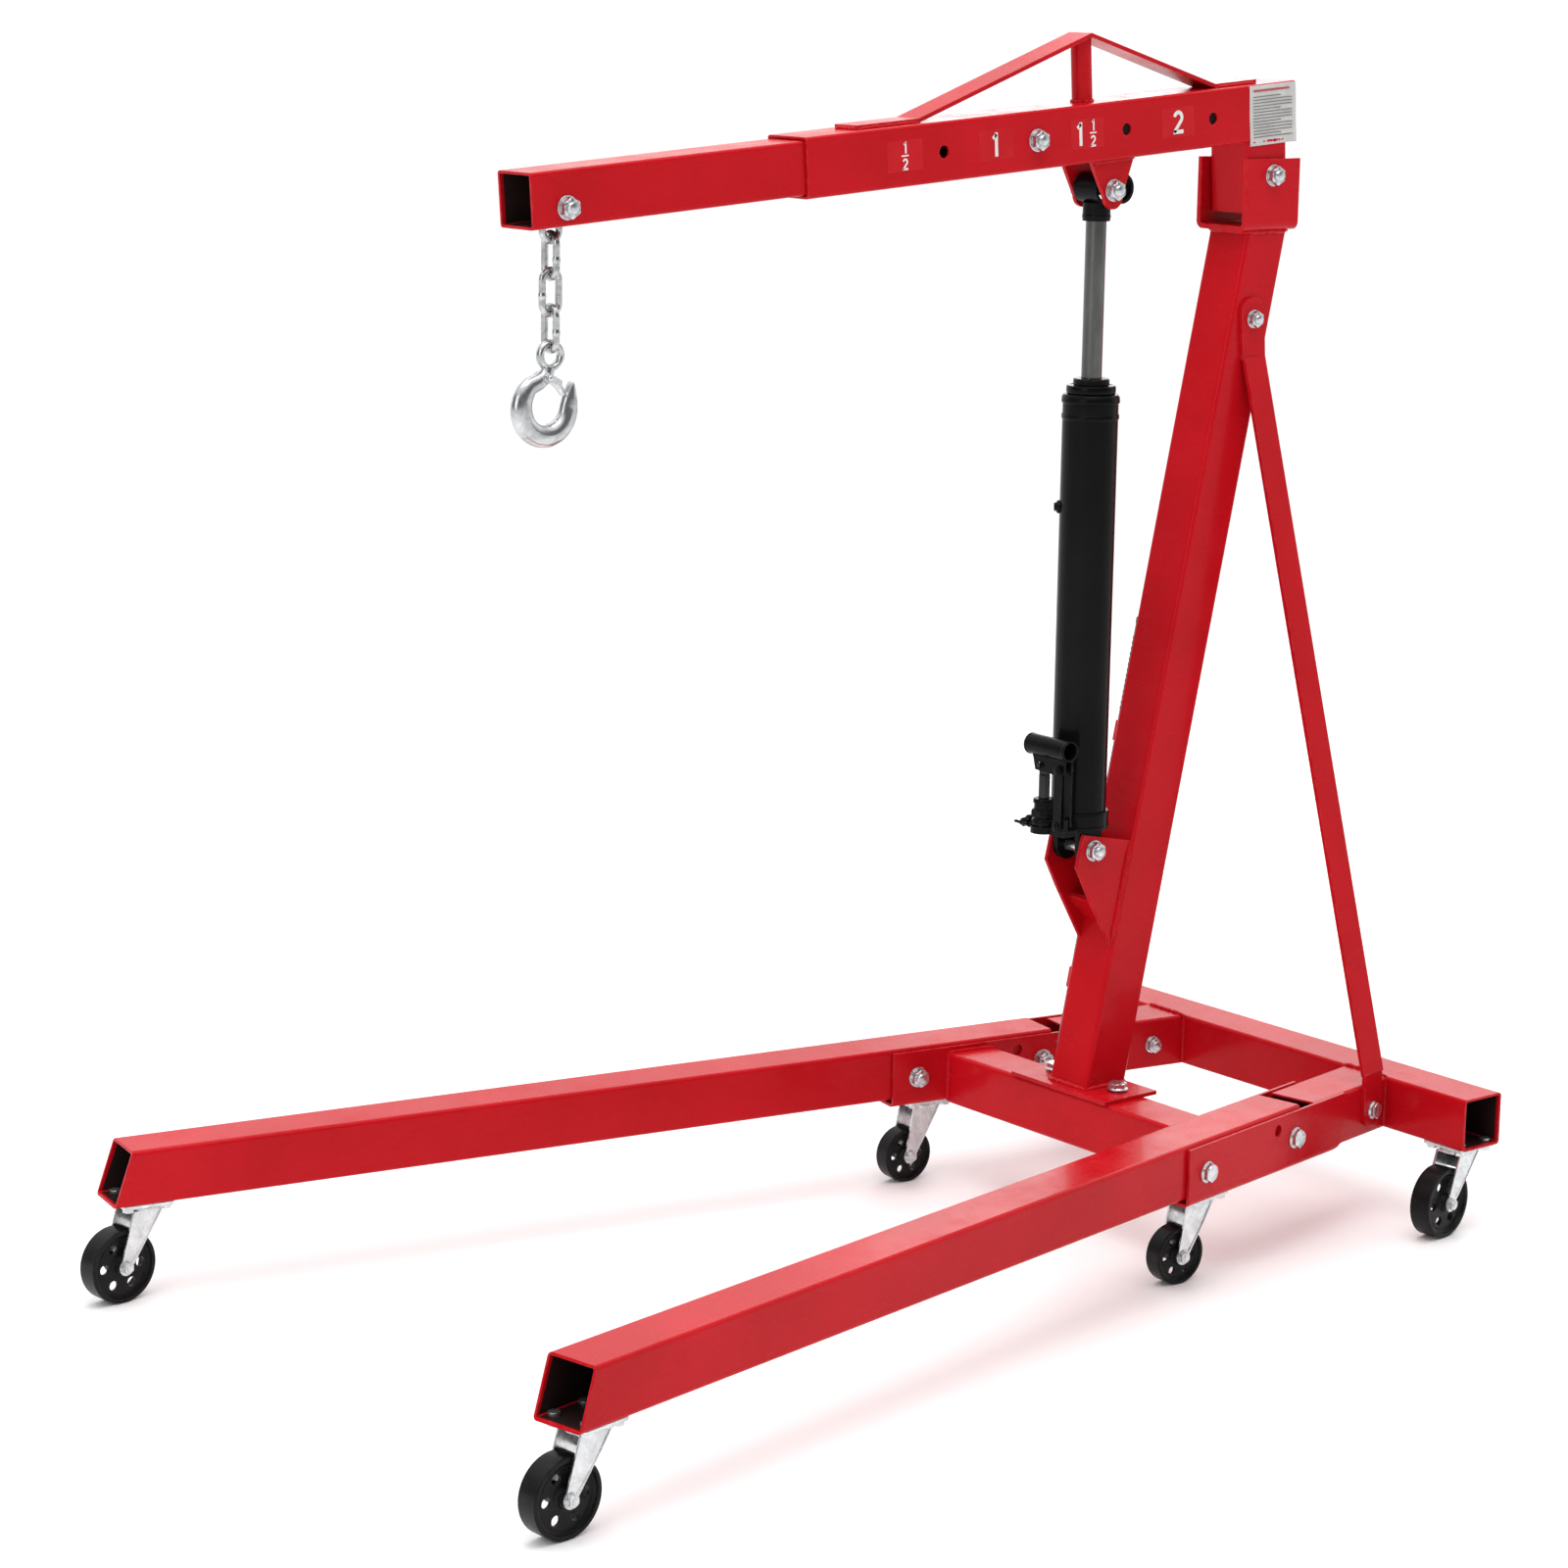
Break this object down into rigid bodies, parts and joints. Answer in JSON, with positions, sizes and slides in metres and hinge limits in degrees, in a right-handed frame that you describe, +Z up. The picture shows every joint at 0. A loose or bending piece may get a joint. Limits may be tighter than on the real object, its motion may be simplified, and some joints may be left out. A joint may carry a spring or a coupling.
{
  "type": "folding engine hoist crane",
  "caption": "Folding hydraulic engine hoist with an extending boom on a leaning mast, long ram, chain and latched hook, hinged legs and swivel casters",
  "frame": {"origin": "floor level under the centre of the overall box", "axes": "X forward along the boom, Y to the left, Z up"},
  "size_m": [1.5841, 0.9842, 1.497],
  "materials": {
    "red_paint": "gloss",
    "black_paint": "satin",
    "zinc": "zinc plated",
    "chain": "dull",
    "rod": "polished",
    "wheel": "black enamel"
  },
  "bodies": {
    "base": {"rear_crossbar": "red_paint", "side_rails": "red_paint", "front_crossbar": "red_paint", "channel_left": "red_paint", "channel_right": "red_paint", "mast": "red_paint", "mast_base_plate": "red_paint", "mast_head_bracket": "red_paint", "ram_lower_bracket": "red_paint", "handle_clips": "red_paint", "brace_left": "red_paint", "brace_right": "red_paint", "base_plate_bolts": "zinc", "leg_bolts": "zinc", "brace_bolts": "zinc", "boom_pivot_bolt": "zinc", "ram_lower_bolt": "zinc", "caster_plates": "zinc", "caster_bolts": "zinc"},
    "leg_left": {"leg_left": "red_paint", "leg_caster_plate_left": "zinc"},
    "leg_right": {"leg_right": "red_paint", "leg_caster_plate_right": "zinc"},
    "boom": {"boom_tube": "red_paint", "boom_post": "red_paint", "boom_ram_bracket": "red_paint", "carry_strap": "red_paint", "strap_post": "red_paint", "ram_upper_bolt": "zinc", "extension_lock_bolt": "zinc"},
    "extension": {"boom_extension": "red_paint", "hook_bolt": "zinc"},
    "link_1": {"chain_link_1": "chain"},
    "link_2": {"chain_link_2": "chain"},
    "link_3": {"chain_link_3": "chain"},
    "link_4": {"chain_link_4": "chain"},
    "hook": {"hook": "zinc"},
    "latch": {"hook_latch": "zinc"},
    "ram": {"ram_cylinder": "black_paint", "ram_base": "black_paint", "gland_nut": "black_paint", "pump_link": "black_paint"},
    "rod": {"piston_rod": "rod", "rod_eye": "black_paint"},
    "plunger": {"pump_plunger": "rod"},
    "lever": {"handle_socket": "black_paint"},
    "valve": {"release_valve": "black_paint"},
    "handle": {"jack_handle": "black_paint"},
    "fork_front_left": {"fork_front_left": "zinc"},
    "wheel_front_left": {"wheel_front_left": "wheel"},
    "fork_front_right": {"fork_front_right": "zinc"},
    "wheel_front_right": {"wheel_front_right": "wheel"},
    "fork_mid_left": {"fork_mid_left": "zinc"},
    "wheel_mid_left": {"wheel_mid_left": "wheel"},
    "fork_mid_right": {"fork_mid_right": "zinc"},
    "wheel_mid_right": {"wheel_mid_right": "wheel"},
    "fork_rear_left": {"fork_rear_left": "zinc"},
    "wheel_rear_left": {"wheel_rear_left": "wheel"},
    "fork_rear_right": {"fork_rear_right": "zinc"},
    "wheel_rear_right": {"wheel_rear_right": "wheel"}
  },
  "joints": [
    {"name": "boom_pivot", "type": "hinge", "parent": "base", "child": "boom", "pos_m": [-0.635, 0, 1.3225], "axis": [0, -1, 0], "range_deg": [-40, 15]},
    {"name": "extension_slide", "type": "slide", "parent": "boom", "child": "extension", "axis": [0.9974, 0, -0.0717], "range_m": [-0.146, 0.146]},
    {"name": "link_1_swing", "type": "hinge", "parent": "extension", "child": "link_1", "pos_m": [0.43808, 0, 1.31297], "axis": [0, 1, 0], "range_deg": [-30, 30]},
    {"name": "link_2_swing", "type": "hinge", "parent": "link_1", "child": "link_2", "pos_m": [0.43808, 0, 1.27517], "axis": [1, 0, 0], "range_deg": [-25, 25]},
    {"name": "link_3_swing", "type": "hinge", "parent": "link_2", "child": "link_3", "pos_m": [0.43808, 0, 1.23547], "axis": [0, 1, 0], "range_deg": [-30, 30]},
    {"name": "link_4_swing", "type": "hinge", "parent": "link_3", "child": "link_4", "pos_m": [0.43808, 0, 1.19577], "axis": [1, 0, 0], "range_deg": [-25, 25]},
    {"name": "hook_swing", "type": "hinge", "parent": "link_4", "child": "hook", "pos_m": [0.43808, 0, 1.15607], "axis": [0, 1, 0], "range_deg": [-30, 30]},
    {"name": "latch_hinge", "type": "hinge", "parent": "hook", "child": "latch", "pos_m": [0.44708, 0, 1.12687], "axis": [0, -1, 0], "range_deg": [0, 40], "stiffness_Nm_per_rad": 0.03, "springref_deg": -28.65},
    {"name": "ram_tilt", "type": "hinge", "parent": "base", "child": "ram", "pos_m": [-0.376, 0, 0.492], "axis": [0, -1, 0], "range_deg": [-1.6, 4.1]},
    {"name": "rod_slide", "type": "slide", "parent": "ram", "child": "rod", "axis": [0, 0, 1], "range_m": [-0.168, 0.063]},
    {"name": "pump_lever", "type": "hinge", "parent": "ram", "child": "lever", "pos_m": [-0.317, 0.034, 0.603], "axis": [1, 0, 0], "range_deg": [-15, 20]},
    {"name": "plunger_slide", "type": "slide", "parent": "ram", "child": "plunger", "axis": [0, 0, 1], "range_m": [-0.012, 0.009]},
    {"name": "valve_turn", "type": "hinge", "parent": "ram", "child": "valve", "pos_m": [-0.317, -0.024, 0.528], "axis": [1, 0, 0], "range_deg": [0, 270]},
    {"name": "handle_slide", "type": "slide", "parent": "base", "child": "handle", "axis": [-0.2113, 0, 0.9774], "range_m": [0, 0.25]},
    {"name": "leg_fold_left", "type": "hinge", "parent": "base", "child": "leg_left", "pos_m": [-0.508, 0.225, 0.151], "axis": [0.1822, -0.9833, 0], "range_deg": [0, 90]},
    {"name": "leg_fold_right", "type": "hinge", "parent": "base", "child": "leg_right", "pos_m": [-0.508, -0.225, 0.151], "axis": [-0.1822, -0.9833, 0], "range_deg": [0, 90]},
    {"name": "swivel_front_left", "type": "hinge", "parent": "leg_left", "child": "fork_front_left", "pos_m": [0.71222, 0.45115, 0.11], "axis": [0, 0, 1], "continuous": true},
    {"name": "spin_front_left", "type": "hinge", "parent": "fork_front_left", "child": "wheel_front_left", "pos_m": [0.74614, 0.45353, 0.045], "axis": [-0.0698, 0.9976, 0], "continuous": true},
    {"name": "swivel_front_right", "type": "hinge", "parent": "leg_right", "child": "fork_front_right", "pos_m": [0.71222, -0.45115, 0.11], "axis": [0, 0, 1], "continuous": true},
    {"name": "spin_front_right", "type": "hinge", "parent": "fork_front_right", "child": "wheel_front_right", "pos_m": [0.74606, -0.4479, 0.045], "axis": [-0.0958, 0.9954, 0], "continuous": true},
    {"name": "swivel_mid_left", "type": "hinge", "parent": "base", "child": "fork_mid_left", "pos_m": [-0.34675, 0.25489, 0.102], "axis": [0, 0, 1], "continuous": true},
    {"name": "spin_mid_left", "type": "hinge", "parent": "fork_mid_left", "child": "wheel_mid_left", "pos_m": [-0.32078, 0.25353, 0.036], "axis": [0.0523, 0.9986, 0], "continuous": true},
    {"name": "swivel_mid_right", "type": "hinge", "parent": "base", "child": "fork_mid_right", "pos_m": [-0.34675, -0.25489, 0.102], "axis": [0, 0, 1], "continuous": true},
    {"name": "spin_mid_right", "type": "hinge", "parent": "fork_mid_right", "child": "wheel_mid_right", "pos_m": [-0.32081, -0.2567, 0.036], "axis": [0.0698, 0.9976, 0], "continuous": true},
    {"name": "swivel_rear_left", "type": "hinge", "parent": "base", "child": "fork_rear_left", "pos_m": [-0.758, 0.318, 0.106], "axis": [0, 0, 1], "continuous": true},
    {"name": "spin_rear_left", "type": "hinge", "parent": "fork_rear_left", "child": "wheel_rear_left", "pos_m": [-0.72037, 0.32329, 0.045], "axis": [-0.1392, 0.9903, 0], "continuous": true},
    {"name": "swivel_rear_right", "type": "hinge", "parent": "base", "child": "fork_rear_right", "pos_m": [-0.758, -0.318, 0.106], "axis": [0, 0, 1], "continuous": true},
    {"name": "spin_rear_right", "type": "hinge", "parent": "fork_rear_right", "child": "wheel_rear_right", "pos_m": [-0.72113, -0.32719, 0.045], "axis": [0.2419, 0.9703, 0], "continuous": true}
  ],
  "couplings": [
    {"joint": "ram_tilt", "follows": "boom_pivot", "ratio": -0.1},
    {"joint": "rod_slide", "follows": "boom_pivot", "m_per_rad": 0.24},
    {"joint": "plunger_slide", "follows": "pump_lever", "m_per_rad": -0.034}
  ]
}
